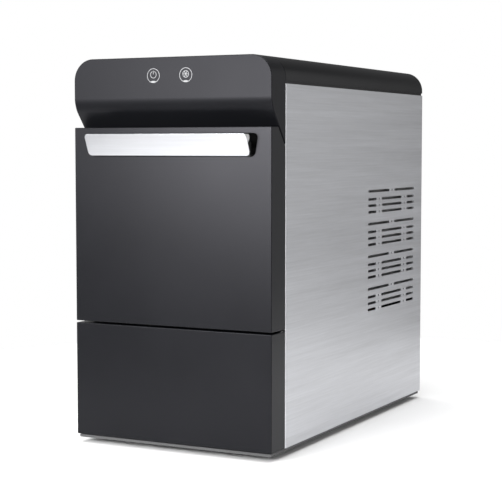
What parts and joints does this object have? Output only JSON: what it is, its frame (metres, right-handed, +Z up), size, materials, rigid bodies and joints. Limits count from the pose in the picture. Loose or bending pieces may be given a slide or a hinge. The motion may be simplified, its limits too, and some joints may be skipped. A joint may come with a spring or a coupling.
{
  "type": "ice maker",
  "caption": "Countertop nugget ice maker with steel sides, a pull-out ice drawer with a steel grip above a pull-out water tank, and a geared freezing auger with its cooling circuit behind.",
  "frame": {"origin": "middle of the box around the ice maker, on the floor under its rubber feet", "axes": "+X to the right as seen from the front, +Y to the rear (the doors face -Y), +Z up"},
  "size_m": [0.248, 0.468, 0.434],
  "materials": {
    "black_face": "smooth satin black with a soft sheen",
    "black_cover": "smooth black, slightly glossy",
    "dark_plastic": "fine matt texture",
    "grey_plastic": "fine matt texture",
    "brushed_steel": "brushed along the depth",
    "handle_steel": "bright, brushed across the width",
    "zinc_steel": "zinc plated",
    "stainless": "smooth turned stainless steel",
    "black_metal": "semi-gloss black paint",
    "rubber": "matt black",
    "white_print": "white print",
    "white_plastic": "smooth white",
    "clear_bin": "clear moulded plastic",
    "foam": "foamed insulation",
    "copper": "drawn copper tube",
    "fin_metal": "thin rolled fins",
    "gear_plastic": "hard moulded gear plastic",
    "board": "green board with parts",
    "float_orange": "orange moulded plastic",
    "hose": "soft translucent hose"
  },
  "bodies": {
    "housing": {"base_pan": "grey_plastic", "rubber_feet": "rubber", "left_side_panel": "brushed_steel", "right_side_panel": "brushed_steel", "top_cover": "black_cover", "rear_panel": "dark_plastic", "rear_panel_screws": "zinc_steel", "control_head": "black_face", "power_key_mark": "white_print", "clean_key_mark": "white_print", "control_board": "board", "touch_pads": "zinc_steel", "front_frame": "dark_plastic", "bay_liner": "white_plastic", "bay_foam": "foam", "mid_shelf": "grey_plastic", "bulkhead": "zinc_steel", "bin_slides_fixed": "zinc_steel", "ice_chute": "white_plastic", "extruder_head": "stainless", "freezing_cylinder": "stainless", "evaporator_coil": "copper", "column_foam": "foam", "auger_base": "grey_plastic", "gearbox_housing": "grey_plastic", "gearbox_cover": "grey_plastic", "gear_motor": "black_metal", "compressor": "black_metal", "compressor_mounts": "rubber", "condenser_fins": "fin_metal", "condenser_tube": "copper", "fan_shroud": "dark_plastic", "fan_motor": "dark_plastic", "refrigerant_lines": "copper", "water_pump": "dark_plastic", "water_hose": "hose", "power_board": "board", "cord_gland": "dark_plastic", "drain_nozzle": "grey_plastic"},
    "ice_drawer": {"ice_door_shell": "black_face", "ice_door_liner": "white_plastic", "ice_door_foam": "foam", "door_gasket": "rubber", "handle_cup": "dark_plastic", "handle_bracket": "dark_plastic", "handle_plate": "handle_steel", "bin_slides_moving": "zinc_steel", "ice_bin": "clear_bin", "drain_grid": "white_plastic"},
    "tank_drawer": {"tank_front": "black_face", "tank_front_liner": "grey_plastic", "water_tank": "clear_bin", "tank_seal": "rubber"},
    "float": {"float_arm": "float_orange"},
    "auger": {"auger": "stainless", "output_gear": "gear_plastic"},
    "idler": {"idler_gear": "gear_plastic"},
    "pinion": {"motor_pinion": "gear_plastic"},
    "fan": {"fan_rotor": "dark_plastic"},
    "plug": {"drain_plug": "rubber"}
  },
  "joints": [
    {"name": "ice_drawer_slide", "type": "slide", "parent": "housing", "child": "ice_drawer", "axis": [0, -1, 0], "range_m": [0, 0.14]},
    {"name": "tank_slide", "type": "slide", "parent": "housing", "child": "tank_drawer", "axis": [0, -1, 0], "range_m": [0, 0.15]},
    {"name": "float_pivot", "type": "hinge", "parent": "tank_drawer", "child": "float", "pos_m": [-0.06, -0.0077, 0.065], "axis": [1, 0, 0], "range_deg": [-60, 0]},
    {"name": "auger_spin", "type": "hinge", "parent": "housing", "child": "auger", "pos_m": [-0.062, 0.078, 0.038], "axis": [0, 0, 1], "continuous": true},
    {"name": "idler_spin", "type": "hinge", "parent": "housing", "child": "idler", "pos_m": [-0.062, 0.118, 0.03], "axis": [0, 0, 1], "continuous": true},
    {"name": "pinion_spin", "type": "hinge", "parent": "housing", "child": "pinion", "pos_m": [-0.062, 0.15175, 0.04], "axis": [0, 0, 1], "continuous": true},
    {"name": "fan_spin", "type": "hinge", "parent": "housing", "child": "fan", "pos_m": [0.05, 0.126, 0.2145], "axis": [1, 0, 0], "continuous": true},
    {"name": "drain_plug_pull", "type": "slide", "parent": "housing", "child": "plug", "axis": [0, 1, 0], "range_m": [0, 0.03]}
  ],
  "couplings": [
    {"joint": "idler_spin", "follows": "auger_spin", "ratio": -3},
    {"joint": "pinion_spin", "follows": "auger_spin", "ratio": 8.5714}
  ]
}
